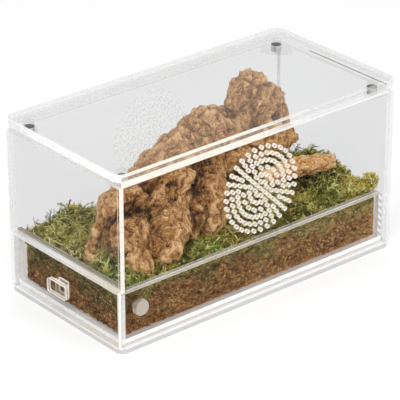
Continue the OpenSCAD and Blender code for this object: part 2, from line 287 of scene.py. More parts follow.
# Acrylic sheet
# The case, the lid and the drawer are laser-cut and cemented from clear cast sheet. Its
# faces let most light through, and its cut edges gather light and read as white or cream.
# That gathered light is painted: the edges, and a film on some faces, take a white or cream
# colour that glows a little, and lines and bars in it are painted light and shade too.
MM = 0.001
X, Y, Z = 0, 1, 2
FACE_TINT = (0.936, 0.937, 0.938, 1.0)
# Colours of the painted light in the sheets' cut edges and films, and of the lines painted in them
EDGE_CREAM = (0.8, 0.745, 0.66)
EDGE_WHITE = (0.84, 0.84, 0.84)
EDGE_GREY = (0.43, 0.426, 0.42)
EDGE_SOFT = (0.84, 0.825, 0.8)
EDGE_DIM = (0.72, 0.67, 0.56)
EDGE_TINT = (0.955, 0.953, 0.95, 1.0)
LINE_DARK = (0.07, 0.07, 0.075)
BAR_GREY = (0.4, 0.4, 0.41)
STRIP_DARK = (0.13, 0.11, 0.05)
LOW_SHINE = 0.06
# Where the sheets' look changes, in mm: the upright corners, the ring's outer faces, and how
# high or how deep the painted edge light in the ring, the lid and the holes of the walls goes
CORNER_X = 144.0
RIM_OUTER_X, RIM_OUTER_Y = 146.0, 71.0
RIM_END_Z, RIM_SIDE_Z, RIM_LINE_Z = 152.9, 153.7, 153.0
LID_LIGHT_Z = 157.0
FRONT_LIGHT_Y, BACK_LIGHT_Y = -71.25, 71.6
WALL_MIDDLE_Z, WALL_HALF_HEIGHT = 76.0, 71.0
POST_LINE_Y = -71.9
FINE_LINE = 0.9
BAR_PITCH = 6.4
# Cream turns white over these stretches along X and Y, and the painted edge light thins over those
WHITER_X, WHITER_Y = (-20.0, 70.0), (-40.0, 10.0)
THINNER_X, THINNER_Y = (-10.0, 60.0), (40.0, 74.0)


def acrylic(name, face_axis, edge=EDGE_WHITE, cover=0.8, film=0.0, shine=0.2, glow=0.03):
    """Clear faces square to face_axis under a film of painted light, and cut edges painted with
    light, streaked along the sheet: a white or cream colour that glows by glow stands in for the
    light that the sheet gathers and reflects. cover and film are the shares of what is behind
    that this painted light hides: numbers, or functions that work them out from the finish. The
    faces mirror a share, shine, of what polished acrylic does."""
    f = Finish(name)
    clear = f.node("BsdfTransparent", Color=FACE_TINT)
    gloss = f.node("BsdfGlossy", Color=WHITE, Roughness=0.03)
    facing = f.node("LayerWeight", out=1, Blend=0.5)
    mirror = shine * (0.04 + 0.96 * (facing ** 5.0))
    face = f.shaders(mirror.clamped(), clear, gloss)
    colour = edge(f) if callable(edge) else (*edge, 1.0)
    # Painted light: this glowing white or cream stands in for the light that the sheet gathers in
    # its edges and reflects off its faces
    painted_edge_light = f.node("BsdfPrincipled", Base_Color=colour, Roughness=0.22,
                   Emission_Color=colour, Emission_Strength=glow)
    if film:
        face = f.shaders(film(f) if callable(film) else film, face, painted_edge_light)
    streak = f.noise(f.place((60.0, 60.0, 500.0)), 1.0, 3.0)
    speck = f.noise(f.place((300.0, 300.0, 300.0)), 1.0, 2.0)
    uneven = 1.0 + (streak - 0.5) * 0.5 + (speck - 0.5) * 0.3
    hidden = (uneven * (cover(f) if callable(cover) else cover)).clamped()
    edge_look = f.shaders(hidden, f.node("BsdfTransparent", Color=EDGE_TINT), painted_edge_light)
    return f.done(f.shaders(turned_to(f, face_axis, 0.6), edge_look, face))


def turned_to(f, axis, least=0.5):
    """1 where the surface faces along an axis, either way, and 0 elsewhere."""
    return abs(f.axis_of("Normal", axis)) > least


def mm_along(f, axis):
    """The place along an axis, in mm."""
    return f.axis_of("Object", axis) * (1.0 / MM)


def line_at(f, axis, places, width):
    """1 in lines of a width round these places along an axis, in mm, and 0 between them."""
    at = mm_along(f, axis)
    lines = [abs(at - place) < width / 2 for place in places]
    return sum(lines[1:], lines[0]).clamped()


def dress(material, *names):
    """Gives CAD nodes a material."""
    for name in names:
        slots = nodes[name].data.materials
        slots.clear()
        slots.append(material)


def frame_edge(f):
    """Painted edge light: cream where the wood shines through the front, and white to the right
    and at the back.
    """
    side = mm_along(f, X).ramp_between(*WHITER_X)
    back = mm_along(f, Y).ramp_between(*WHITER_Y)
    return f.blend((side + back + turned_to(f, X)).clamped(), EDGE_CREAM, EDGE_WHITE)


def less_at_the_back(f):
    """1 on the front and the drawer end of the frame, down to 0.3 at the back and the right."""
    side = mm_along(f, X).ramp_between(*THINNER_X)
    back = mm_along(f, Y).ramp_between(*THINNER_Y)
    return 1.0 - 0.7 * (side + back).clamped()


def frame_edge_of_ends(f):
    """The end panels' painted edge light: cream at the front corner, white at the back."""
    return f.blend(mm_along(f, Y).ramp_between(*WHITER_Y), EDGE_CREAM, EDGE_WHITE)


def end_cover(f):
    """The end panels' edges: painted light at the front corner, half clear at the back."""
    return 0.9 - 0.45 * mm_along(f, Y).ramp_between(0.0, 70.0)


def rim_cover(f):
    """The ring's outer edge: painted light in its upper part on the ends and in its lower part on
    the long sides, with a dim line above; its inner edge stays almost clear."""
    z = mm_along(f, Z)
    ends = 0.3 + 0.63 * (z > RIM_END_Z)
    sides = 0.2 + 0.75 * (z < RIM_SIDE_Z)
    outer = ((abs(mm_along(f, X)) > RIM_OUTER_X) + (abs(mm_along(f, Y)) > RIM_OUTER_Y)).clamped()
    edge_light = (sides + turned_to(f, X) * (ends - sides)) * (0.06 + 0.94 * outer)
    return (edge_light * less_at_the_back(f) + 0.8 * inner_line(f)).clamped()


def inner_line(f):
    """A thin line along the front part of the ring's inner edge at the right end."""
    right_end = (mm_along(f, X) > 120.0) * (mm_along(f, X) < RIM_OUTER_X) * turned_to(f, X)
    return right_end * (mm_along(f, Y) < 28.0) * line_at(f, Z, [RIM_LINE_Z], FINE_LINE)


def rim_edge(f):
    """As the frame's edges, and dark in the thin line."""
    return f.blend(inner_line(f), frame_edge(f), LINE_DARK)


def lid_cover(f):
    """The lid's edge: painted light all over on the ends, and on its upper 3 mm on the long sides.
    """
    sides = 0.22 + 0.75 * (mm_along(f, Z) > LID_LIGHT_Z)
    return (sides + turned_to(f, X) * (0.95 - sides)) * less_at_the_back(f)


def wall_edge(f):
    """Painted edge light: cream in the front wall's holes, and white on the sheet's own cut edges.
    """
    ends = ((abs(mm_along(f, X)) > CORNER_X)
            + (abs(mm_along(f, Z) - WALL_MIDDLE_Z) > WALL_HALF_HEIGHT))
    return f.blend(ends.clamped(), EDGE_CREAM, EDGE_WHITE)


def outer_cover(f):
    """The front wall's holes and ends: painted light in the outer 2.75 mm of the sheet, and on the
    right less so."""
    right = mm_along(f, X) > CORNER_X
    return (0.06 + 0.92 * (mm_along(f, Y) < FRONT_LIGHT_Y)) * (1.0 - 0.6 * right)


def inner_cover(f):
    """The back wall's holes: faint painted light in the inner 1.6 mm of the sheet."""
    return 0.04 + 0.5 * (mm_along(f, Y) < BACK_LIGHT_Y)


def post_line(f):
    """A thin bright line of painted light beside the front corner, where the front wall's face
    meets the panel.
    """
    return 0.6 * line_at(f, Y, [POST_LINE_Y], FINE_LINE)


def seam_line(f):
    """The same line, and two painted bright bands under the drawer front's upper edge."""
    bands = line_at(f, Z, [55.1], 0.8) + line_at(f, Z, [53.4], 1.6)
    return (post_line(f) + 0.75 * bands).clamped()


def striped_edge(f):
    """White with slanting grey bars on the right end: painted light and shade, as the sheet's
    refraction breaks the light into bars there.
    """
    bars = (mm_along(f, Z) + 1.1 * mm_along(f, X)) * (2 * np.pi / BAR_PITCH)
    grey = (bars.sine() > 0.1) * (mm_along(f, X) > 0.0)
    return f.blend(grey * 0.85, EDGE_WHITE, BAR_GREY)


def base_edge(f):
    """Painted light and shade: grey on the base plate's sides, and white where its upper face
    catches the light.
    """
    return f.blend(turned_to(f, Z), EDGE_GREY, EDGE_WHITE)


def strip_edge(f):
    """The seam strip: cream painted edge light, with two dark lines along its face."""
    return f.blend(line_at(f, Z, (57.1, 55.2), 0.7), EDGE_DIM, STRIP_DARK)


def strip_film(f):
    """The seam strip's upper face: clear between bright corners of painted light."""
    return 0.04 + 0.5 * line_at(f, X, (-144.7, -141.3), 0.6)


def arris_cover(f):
    """The pull's edges: painted light in a line along each face, and clear between them."""
    return 0.25 + 0.75 * line_at(f, X, (-157.2, -154.4, -149.6), 2.0)


# The cut edges and films below are painted light, and glow makes them glow a little though no lamp
# is there
dress(acrylic("front_wall_acrylic", Y, wall_edge, outer_cover, 0.0, LOW_SHINE, 0.25),
      "front_wall")
dress(acrylic("back_wall_acrylic", Y, EDGE_WHITE, inner_cover, glow=0.1), "back_wall")
dress(acrylic("right_wall_acrylic", X), "right_end_wall")
dress(acrylic("end_panel_acrylic", X, frame_edge_of_ends, end_cover, post_line), "upper_end_panel")
dress(acrylic("drawer_front_acrylic", X, frame_edge_of_ends, end_cover, seam_line, LOW_SHINE),
      "drawer_front")
dress(acrylic("lid_acrylic", Z, frame_edge, lid_cover, 0.025), "lid_plate")
# The base plate's film and glow are painted light over the shade under the tray
dress(acrylic("base_acrylic", Z, base_edge, 0.9, 0.7, glow=0.3), "base_plate")
dress(acrylic("tray_floor_acrylic", Z, EDGE_SOFT, 0.9, glow=0.45), "tray_floor")
dress(acrylic("tray_side_acrylic", Y, EDGE_CREAM, 0.8, 0.0, LOW_SHINE, 0.1),
      "tray_front_side", "tray_back_side")
dress(acrylic("tray_end_acrylic", X, striped_edge, 0.85, 0.0, LOW_SHINE, 0.15),
      "tray_left_end", "tray_right_end")
dress(acrylic("rim_acrylic", Z, rim_edge, rim_cover), "top_rim")
dress(acrylic("seam_strip_acrylic", Z, strip_edge, 0.85, strip_film), "seam_strip")
dress(acrylic("runner_acrylic", Z, EDGE_WHITE, 0.5), "base_runners")
dress(acrylic("gusset_acrylic", Z, EDGE_WHITE, 0.08), "corner_gussets")
dress(acrylic("post_acrylic", Z, EDGE_WHITE, 0.04), "lid_spacers")
dress(acrylic("pull_acrylic", X, EDGE_CREAM, arris_cover, glow=0.2), "handle_grip", "handle_stem")


# Guide rails
# Two strips of clear sheet, cemented inside the long walls just over the tray's sides, that
# keep the drawer level. Light gathers along their corners, painted on as bright lines.
RAIL_Z = (51.0, 54.0)
RAIL_Y = (65.6, 70.0)
RAIL_END = 140.6
ARRIS = 0.25


def box_points(low, high):
    """The eight corners of a box, each coordinate low or high in turn, and its six faces."""
    corners = np.where(np.indices((2, 2, 2)).reshape(3, 8).T, high, low)
    return corners, np.array([[0, 1, 3, 2], [4, 6, 7, 5], [0, 4, 5, 1], [2, 3, 7, 6],
                              [0, 2, 6, 4], [1, 5, 7, 3]])


def new_mesh_object(name, points, faces, body="drawer"):
    """A mesh in metres from points in mm, smooth shaded and riding on a body."""
    mesh = bpy.data.meshes.new(name)
    rows = faces.tolist() if isinstance(faces, np.ndarray) else faces
    mesh.from_pydata((points * MM).tolist(), [], rows)
    mesh.polygons.foreach_set("use_smooth", np.ones(len(mesh.polygons), bool))
    mesh.update()
    obj = bpy.data.objects.new(name, mesh)
    bpy.context.scene.collection.objects.link(obj)
    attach(obj, body)
    return obj


def rail_film(f):
    """Painted light: a dim film between bright lines along the rail's four long corners."""
    lines = line_at(f, Z, RAIL_Z, FINE_LINE) * turned_to(f, Y)
    corners = line_at(f, Y, [side * y for side in (-1, 1) for y in RAIL_Y], FINE_LINE)
    return 0.24 + 0.6 * (lines + corners * turned_to(f, Z)).clamped()


rail_rows = [box_points((-RAIL_END, low_y, RAIL_Z[0]), (RAIL_END, high_y, RAIL_Z[1]))
             for low_y, high_y in ((-RAIL_Y[1], -RAIL_Y[0]), RAIL_Y)]
rails = new_mesh_object("guide_strips", np.vstack([corners for corners, _ in rail_rows]),
                        np.vstack([rail_rows[0][1], rail_rows[1][1] + 8]), "case")
rails.data.polygons.foreach_set("use_smooth", np.zeros(len(rails.data.polygons), bool))
soft_corner = rails.modifiers.new("arris", "BEVEL")
soft_corner.width = ARRIS * MM
rails.data.materials.append(acrylic("rail_acrylic", X, EDGE_CREAM, rail_film))
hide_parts("guide_rails")


# Magnets
# Nickel-plated neodymium discs with dark end faces. Four sit in pockets under the rim, and
# four hang on clear posts under the lid, glued in.
PLATED = (0.7, 0.7, 0.72)
MAGNET_DARK = (0.012, 0.012, 0.015)


def magnet_finish():
    """Bright plated sides and dark, scuffed end faces."""
    f = Finish("plated_magnet")
    wear = f.noise(f.place((900.0, 900.0, 900.0)), 1.0, 3.0)
    colour = f.blend(turned_to(f, Z), PLATED, MAGNET_DARK)
    return f.done(f.node("BsdfPrincipled", Base_Color=colour, Metallic=1.0 - turned_to(f, Z),
                         Roughness=0.3 + 0.25 * wear))


dress(magnet_finish(), "frame_magnets", "lid_magnets")


# Lock screw
# A turned and nickel-plated knob with a knurled rim, pressed on a steel shank. It runs in a
# flanged bush in the front wall and locks the drawer.
LOCK_X, LOCK_Z = -0.1308, 0.0387
KNOB_NICKEL = (0.62, 0.55, 0.47)
BUSH_STEEL = (0.6, 0.59, 0.57)
RING_DIM = 0.75


def turned_metal(name, colour, ring_pitch):
    """Plated metal with fine turning rings round the screw's axis."""
    f = Finish(name)
    x = f.axis_of("Object", X) - LOCK_X
    z = f.axis_of("Object", Z) - LOCK_Z
    radius = (x * x + z * z) ** 0.5
    rings = f.noise(f.node("CombineXYZ", X=radius * (1.0 / ring_pitch)), 1.0, 2.0)
    tone = f.blend(rings, tuple(c * RING_DIM for c in colour), colour)
    return f.done(f.node("BsdfPrincipled", Base_Color=tone, Metallic=1.0,
                         Roughness=0.22 + 0.2 * rings, Normal=f.bump(rings, 0.25, 0.1 * MM)))


dress(turned_metal("knob_nickel", KNOB_NICKEL, 0.4 * MM), "lock_knob")
dress(turned_metal("bush_steel", BUSH_STEEL, 0.3 * MM), "lock_bush", "lock_shank")


# Driftwood
# One gnarled piece of bare root wood that leans across the tray, from a broad foot by the
# drawer's front to a knob under the lid, and stands on the substrate with moss round it.
SUBSTRATE_TOP = 44.0
WOOD_VOXEL = 1.15
BALLS_PER_STATION, COARSE_BALLS = 8, 3
WOOD_SECTIONS = 150
WOOD_SIDES = 120
WOOD_X = (-130.4, 127.0)
WOOD_CEILING = 146.5
WOOD_BACK = 64.6
# Radius under which the folds grow weaker, so that thin tips stay whole
FOLD_FADE = 14.0
# How much darker painted shade makes the hollows for each mm of their depth, as mm of hollow
HOLLOW_SHADE = 0.35
# Width and height of each kind of relief, in mm, and what they all add on average, which is
# taken off again
SINEW, STRING, FIBRE, KNOT, PIT = (17, 2.5), (6, 0.45), (2.9, 0.5), (13, 3.0), (6, 6.0)
RELIEF_MEAN = 2.5
# The relief fades in over this height above the substrate, in mm
RELIEF_FADE = 6.0
WOOD_TONES = [(0.0, (0.03, 0.012, 0.003)), (0.2, (0.12, 0.046, 0.01)),
              (0.42, (0.29, 0.125, 0.032)), (0.62, (0.45, 0.215, 0.068)),
              (0.82, (0.6, 0.32, 0.12)), (1.0, (0.8, 0.51, 0.25))]

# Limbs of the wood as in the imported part: stations along each, [x, y, z, radius] in mm
ridge = [[-117, -6, 51, 14], [-109, -4, 60, 15], [-101, -1, 72, 12], [-97, 3, 90, 12],
         [-84, 6, 89, 13], [-56, 18, 79, 21], [-34, 23, 83, 20], [-14, 27, 89, 24],
         [6, 30, 94, 23], [20, 33, 96, 21], [32, 36, 104, 23], [58, 38, 99, 21],
         [80, 40, 104, 18]]
peak = [[50, 34, 88, 18], [64, 38, 106, 12], [78, 42, 121, 13], [86, 45, 129.5, 12],
        [97, 45, 129, 11.5]]
shoulder = [[70, 36, 94, 16], [88, 38, 108, 17], [102, 38, 115, 15], [109, 38, 116, 12],
            [112, 34, 102, 10], [116, 29, 89, 7], [122, 24, 78, 4]]
overhang = [[40, 28, 86, 18], [66, 26, 84, 16], [92, 24, 82, 14], [112, 22, 80, 10],
            [122, 21, 78, 5]]
left_foot = [[-60, 14, 78, 20], [-84, -4, 71, 20], [-98, -24, 63, 18], [-108, -45, 51, 13]]
mid_foot = [[-18, 14, 84, 20], [-44, -6, 75, 21], [-64, -26, 66, 19], [-78, -44, 56, 15]]
web = [[-14, 6, 74, 16], [-28, -14, 66, 14], [-38, -30, 58, 9]]
front_foot = [[18, 22, 88, 20], [6, 4, 76, 18], [-6, -14, 66, 15], [-16, -30, 55, 11]]
right_foot = [[34, 38, 84, 18], [52, 44, 66, 14], [62, 46, 48, 12]]
wood_limbs = [ridge, peak, shoulder, overhang, left_foot, mid_foot, web, front_foot,
              right_foot]
# Hollows in the wood: [x, y, z, reach, depth]
hollows = [[-88, -14, 88, 10, 11], [-76, -15, 87, 9, 10], [-64, -22, 88, 7, 8],
           [-51, -25, 89, 7, 9], [-45, -17, 94, 7, 10], [-39, -11, 97, 7, 9],
           [-19, -12, 83, 8, 10], [-7, 0, 93, 9, 11], [5, 0, 96, 9, 11], [-58, 5, 98, 8, 8],
           [-34, -29, 71, 8, 9], [-35, -37, 62, 7, 8], [-107, -7, 84, 9, 7],
           [-117, -8, 75, 7, 5], [-118, -15, 68, 7, 5], [57, 32, 120, 8, 6]]
# The line inside the wood that its sections are drawn round
SPINE_Y = [[-131, -7], [-90, 4], [-56, 14], [-14, 24], [26, 30], [58, 34], [80, 37],
           [104, 34], [118, 26], [128, 23]]
SPINE_Z = [[-131, 50], [-108, 62], [-90, 68], [-56, 74], [-14, 86], [26, 92], [58, 96],
           [80, 104], [104, 106], [112, 96], [118, 84], [128, 77.5]]


def along_stations(stations, t):
    """A Catmull-Rom curve through the stations, at t stations along it, for each t."""
    p = np.asarray(stations, float)
    last = len(p) - 1
    i = np.minimum(np.floor(t).astype(int), last - 1)
    f = (t - i)[:, None]
    a, b, c, d = p[np.maximum(i - 1, 0)], p[i], p[i + 1], p[np.minimum(i + 2, last)]
    return 0.5 * (2 * b + (c - a) * f + (2 * a - 5 * b + 4 * c - d) * f**2
                  + (3 * b - a - 3 * c + d) * f**3)


def limb_balls(stations, per_station=BALLS_PER_STATION):
    """Balls strung along a limb: place and radius, and the way the limb runs at each."""
    last = len(stations) - 1
    t = np.linspace(0, last, last * per_station + 1)
    balls = along_stations(stations, t)
    ahead = along_stations(stations, np.minimum(t + 0.01, last))
    behind = along_stations(stations, np.maximum(t - 0.01, 0))
    way = (ahead - behind)[:, :3]
    return balls, way / np.linalg.norm(way, axis=1)[:, None]


def wander(p, seed):
    """Gradient noise, about -1 to 1: each of the eight lattice corners round a point gives it
    a slope, and quintic weights blend the eight."""
    cell = np.floor(p).astype(np.int64)
    f = p - cell
    w = f * f * f * (f * (f * 6 - 15) + 10)
    total = np.zeros(len(p))
    for corner in np.ndindex(2, 2, 2):
        c = cell + corner
        h = ((c[:, 0] * 73856093) ^ (c[:, 1] * 19349663) ^ (c[:, 2] * 83492791)
             ^ (seed * 2654435))
        h = (h ^ (h >> 13)) * 1274126177 & 0x7FFFFFFF
        h = (h ^ (h >> 16)) * 668265263 & 0x7FFFFFFF
        turn = (h & 0xFFFF) * (2 * np.pi / 65536)
        rise = ((h >> 15) & 0xFFFF) / 32768.0 - 1.0
        flat = np.sqrt(np.maximum(0.0, 1 - rise * rise))
        offset = f - corner
        dot = (offset[:, 0] * flat * np.cos(turn) + offset[:, 1] * flat * np.sin(turn)
               + offset[:, 2] * rise)
        total += dot * np.prod(np.where(corner, w, 1 - w), axis=1)
    return total * 1.6


def layered(p, seed, layers):
    """Noise of several sizes: each layer is twice as fine and half as strong."""
    return sum(0.5**k * wander(p * 2.0**k + 17.3 * k, seed + k) for k in range(layers))


def rounded(p, seed, layers):
    """Round backs with sharp creases between them: the sum of 2 |noise|, each layer of it
    twice as fine and half as strong."""
    return sum(0.5**k * 2 * np.abs(wander(p * 2.0**k + 9.1 * k, seed + k))
               for k in range(layers))


def skin_faces(rings, sides):
    """Quads that join each point to the next on its ring and on the next ring, and a cap at
    each end."""
    i, k = np.meshgrid(np.arange(rings - 1), np.arange(sides), indexing="ij")
    a = (i * sides + k).ravel()
    b = (i * sides + (k + 1) % sides).ravel()
    quads = np.stack([a, b, b + sides, a + sides], axis=1).tolist()
    return quads + [list(range(sides))[::-1], list(range((rings - 1) * sides, rings * sides))]


def remeshed(obj, voxel):
    """Rebuilds a piece with an even net of quads, voxel mm apart, and gives its points."""
    remesh = obj.modifiers.new("even_net", "REMESH")
    remesh.mode = "VOXEL"
    remesh.voxel_size = voxel * MM
    graph = bpy.context.evaluated_depsgraph_get()
    even = bpy.data.meshes.new_from_object(obj.evaluated_get(graph))
    obj.modifiers.remove(remesh)
    obj.data = even
    even.polygons.foreach_set("use_smooth", np.ones(len(even.polygons), bool))
    return points_of(even)


def points_of(mesh):
    """The mesh's points, in mm."""
    co = np.empty(len(mesh.vertices) * 3)
    mesh.vertices.foreach_get("co", co)
    return co.reshape(-1, 3) / MM


def normals_of(mesh):
    """The unit normal at each point."""
    n = np.empty(len(mesh.vertices) * 3)
    mesh.vertex_normals.foreach_get("vector", n)
    return n.reshape(-1, 3)


def put_points(mesh, points):
    """Moves the mesh's points to these places, in mm."""
    mesh.vertices.foreach_set("co", (points * MM).ravel())
    mesh.update()


def put_tone(mesh, name, values):
    """One number for each vertex, which the piece's material reads by name."""
    mesh.attributes.new(name, "FLOAT", "POINT").data.foreach_set("value", values)


def sin_deg(angle):
    """The sine of an angle in degrees."""
    return np.sin(np.radians(angle))


def dents(x, y, z):
    """How deep the hollows go at a place, in mm: the sum of depth exp(-(distance / reach)^2)."""
    return sum(depth * np.exp(-((x - hx)**2 + (y - hy)**2 + (z - hz)**2) / reach**2)
               for hx, hy, hz, reach, depth in hollows)


def folds(x, y, z):
    """How far the wood stands out of its limbs, in mm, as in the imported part: broad and narrow
    ribs 2.4 (|sin(8 s + 3 t)| - 0.9) and 1.3 (|sin(17 s - 7 t + 50)| - 0.9), lumps
    2.6 sin(5 x - 6 t + 20) sin(6 y + 5 z), less the hollows.
    s runs across the feet and t is height, both bent by slow waves."""
    s = (0.75 * x - 0.66 * y + 12 * sin_deg(1.7 * x + 2.3 * z + 30)
         + 5 * sin_deg(3 * x + 6 * y - 4 * z))
    t = z + 8 * sin_deg(3 * x - 4 * y) + 4 * sin_deg(9 * x + 5 * y)
    out = (2.4 * (np.abs(sin_deg(8 * s + 3 * t)) - 0.9)
           + 1.3 * (np.abs(sin_deg(17 * s - 7 * t + 50)) - 0.9)
           + 2.6 * sin_deg(5 * x - 6 * t + 20) * sin_deg(6 * y + 5 * z))
    return out - dents(x, y, z)


def wood_core():
    """Rings across X: at each x and each angle round the spine, the wood reaches to the farthest
    ball that the ray meets, plus the folds, and no lower than the substrate."""
    balls = np.vstack([limb_balls(p)[0] for p in wood_limbs])
    x = np.linspace(*WOOD_X, WOOD_SECTIONS)
    mid_y = np.interp(x, *np.array(SPINE_Y, float).T)
    mid_z = np.interp(x, *np.array(SPINE_Z, float).T)
    angle = np.linspace(0, 2 * np.pi, WOOD_SIDES, endpoint=False)
    reach = np.full((len(x), len(angle)), 1.0)
    for bx, by, bz, br in balls:
        cut = br * br - (x - bx) ** 2
        dy, dz = (by - mid_y)[:, None], (bz - mid_z)[:, None]
        near = dy * np.cos(angle) + dz * np.sin(angle)
        rest = near * near - dy * dy - dz * dz + cut[:, None]
        met = (rest > 0) & (cut > 0)[:, None]
        reach = np.maximum(reach, np.where(met, near + np.sqrt(np.abs(rest)), 0))
    here = [np.broadcast_to(x[:, None], reach.shape), mid_y[:, None] + reach * np.cos(angle),
            mid_z[:, None] + reach * np.sin(angle)]
    reach = np.maximum(1.0, reach + folds(*here) * np.minimum(1.0, reach / FOLD_FADE))
    drop = (mid_z - SUBSTRATE_TOP)[:, None]
    down = np.maximum(-np.sin(angle), 1e-6)[None]
    reach = np.where(down * reach > drop, drop / down, reach)
    rings = np.stack([here[0], mid_y[:, None] + reach * np.cos(angle),
                      mid_z[:, None] + reach * np.sin(angle)], axis=-1)
    return rings.reshape(-1, 3), skin_faces(len(x), len(angle))


def limb_places(points, limbs):
    """For each point, its place in the nearest limb: the offset square to the limb's middle line,
    and the way along it, both as vectors."""
    best = np.full(len(points), 1e9)
    offset, onward = np.zeros_like(points), np.zeros_like(points)
    rows = np.arange(len(points))
    for k, stations in enumerate(limbs):
        balls, way = limb_balls(stations, COARSE_BALLS)
        steps = np.linalg.norm(np.diff(balls[:, :3], axis=0), axis=1)
        run = np.concatenate([[0], np.cumsum(steps)])
        away = points[:, None] - balls[None, :, :3]
        gap = np.linalg.norm(away, axis=2) - balls[None, :, 3]
        nearest = gap.argmin(1)
        arm = away[rows, nearest]
        step = (arm * way[nearest]).sum(1)
        closer = gap[rows, nearest] < best
        best = np.where(closer, gap[rows, nearest], best)
        across = arm - step[:, None] * way[nearest] + 61.0 * k
        offset = np.where(closer[:, None], across, offset)
        onward = np.where(closer[:, None], (run[nearest] + step)[:, None] * way[nearest], onward)
    return offset, onward


def softened(mesh, values, rounds):
    """Values at the mesh's points, each replaced by the mean of its neighbours, rounds times."""
    pairs = np.empty(len(mesh.edges) * 2, np.int32)
    mesh.edges.foreach_get("vertices", pairs)
    a, b = pairs.reshape(-1, 2).T
    count = np.maximum(np.bincount(pairs, minlength=len(values)), 1)[:, None]
    for _ in range(rounds):
        total = [np.bincount(a, axis[b], len(values)) + np.bincount(b, axis[a], len(values))
                 for axis in values.T]
        values = np.stack(total, axis=1) / count
    return values


def hollowness(mesh, rounds):
    """How far each point lies under the surface's smooth course, in mm: above 0 in hollows."""
    p = points_of(mesh)
    return ((softened(mesh, p, rounds) - p) * normals_of(mesh)).sum(1)


def roughen_wood(obj, limbs, voxel, strength):
    """Moves each point along its normal by strength (sinews + strings + fibres + knots - pits):
    round backs that run along the limbs with sharp creases between them, and round lumps and
    holes. Keeps how hollow each place is, for painted shade in the colour, and its place along
    the grain, for the colour."""
    p = remeshed(obj, voxel)
    mesh = obj.data
    across, onward = limb_places(p, limbs)
    sway = np.stack([layered(p / 20, seed, 3) for seed in (3, 4, 5)], 1)
    sinew = across + 0.3 * onward + 9.0 * sway
    grain = across + 0.08 * onward + 9.0 * sway
    broad = rounded(sinew / SINEW[0], 20, 2) * SINEW[1]
    narrow = rounded(sinew / STRING[0], 30, 2) * STRING[1]
    fibres = rounded(grain / FIBRE[0], 50, 2) * FIBRE[1]
    pits = np.clip(-wander(p / PIT[0], 61) - 0.42, 0, 1) * PIT[1]
    knots = np.clip(wander(p / KNOT[0], 31) - 0.3, 0, 1) * KNOT[1]
    move = strength * (broad + narrow + fibres + knots - pits - RELIEF_MEAN)
    move *= np.clip((p[:, 2] - SUBSTRATE_TOP) / RELIEF_FADE, 0, 1)
    put_points(mesh, p + normals_of(mesh) * move[:, None])
    # The crease and hollow depths drive painted shade in the wood's colour
    put_tone(mesh, "crease", hollowness(mesh, 6))
    put_tone(mesh, "hollow", hollowness(mesh, 60) + HOLLOW_SHADE * dents(*p.T))
    along = mesh.attributes.new("grain", "FLOAT_VECTOR", "POINT")
    along.data.foreach_set("vector", grain.ravel())


def wood_finish(name, stops, hollow_shade_share=0.13):
    """Weathered root wood: ridges made paler and creases and hollows darker by painted light and
    shade, tan flanks, and fine fibres that follow the grain. The tone is 0.57 less shares of the
    crease and the hollow, which paint shade into them, plus noise in broad patches, in fibres
    along the grain and in specks."""
    f = Finish(name)
    crease, hollow = f.kept("crease"), f.kept("hollow")
    grain = f.node("Attribute", {"attribute_name": "grain"}, out=1)
    patch = f.noise(f.place((34.0, 34.0, 34.0)), 1.0, 3.0)
    fibre = f.noise(grain, 0.7, 4.0, 0.62, 0.25)
    strand = f.noise(grain, 0.2, 3.0, 0.6, 0.6)
    speck = f.noise(f.place((620.0, 620.0, 620.0)), 1.0, 2.0, 0.6)
    # The crease and hollow shares are painted shade
    tone = (0.57 - 0.16 * crease - hollow_shade_share * hollow + (patch - 0.5) * 0.6
            + (fibre - 0.5) * 1.9 + (strand - 0.5) * 0.7 + (speck - 0.5) * 0.4).clamped()
    colour = f.node("ValToRGB", stops=stops, Fac=tone)
    height = (fibre - 0.5) * 1.7 + (speck - 0.5) * 0.3
    return f.done(f.node("BsdfPrincipled", Base_Color=colour, Roughness=0.85,
                         Normal=f.bump(height, 0.9, 1.1 * MM)))


core_points, core_faces = wood_core()
driftwood = new_mesh_object("driftwood", core_points, core_faces)
roughen_wood(driftwood, wood_limbs, WOOD_VOXEL, 1.0)
inside = points_of(driftwood.data)
put_points(driftwood.data, np.minimum(inside, [np.inf, WOOD_BACK, WOOD_CEILING]))
driftwood.data.materials.append(wood_finish("weathered_root_wood", WOOD_TONES))
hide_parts("wood_main")


# Small log
# A short barkless branch of redder wood, its end split and pale. It lies loose on the moss
# by the right end, in front of the driftwood.
LOG_RELIEF = 0.6
# How strongly painted shade darkens the log's hollows
LOG_HOLLOW_SHADE = 0.35
LOG_TONES = [(0.0, (0.03, 0.01, 0.003)), (0.25, (0.18, 0.058, 0.013)),
             (0.5, (0.52, 0.205, 0.055)), (0.75, (0.7, 0.35, 0.12)), (1.0, (0.9, 0.64, 0.34))]
LOG_SIDES = 40
LOG_RINGS = 50
LOG_VOXEL = 0.7
log_limb = [[64, -2, 65, 6], [84, -9, 68.5, 8], [110, -16, 70, 8.5], [131, -20, 67, 6.5]]


def limb_tube(stations, rings, sides):
    """Rings square to the limb's path: path(t) + radius(t) (side cos a + up sin a)."""
    t = np.linspace(0, len(stations) - 1, rings)
    q = along_stations(stations, t)
    way = np.gradient(q[:, :3], axis=0)
    way /= np.linalg.norm(way, axis=1)[:, None]
    side = np.cross(way, [0.0, 1.0, 0.0])
    side /= np.linalg.norm(side, axis=1)[:, None]
    up = np.cross(side, way)
    angle = np.linspace(0, 2 * np.pi, sides, endpoint=False)
    ring = (np.cos(angle)[None, :, None] * side[:, None]
            + np.sin(angle)[None, :, None] * up[:, None])
    return (q[:, None, :3] + q[:, None, 3:] * ring).reshape(-1, 3)


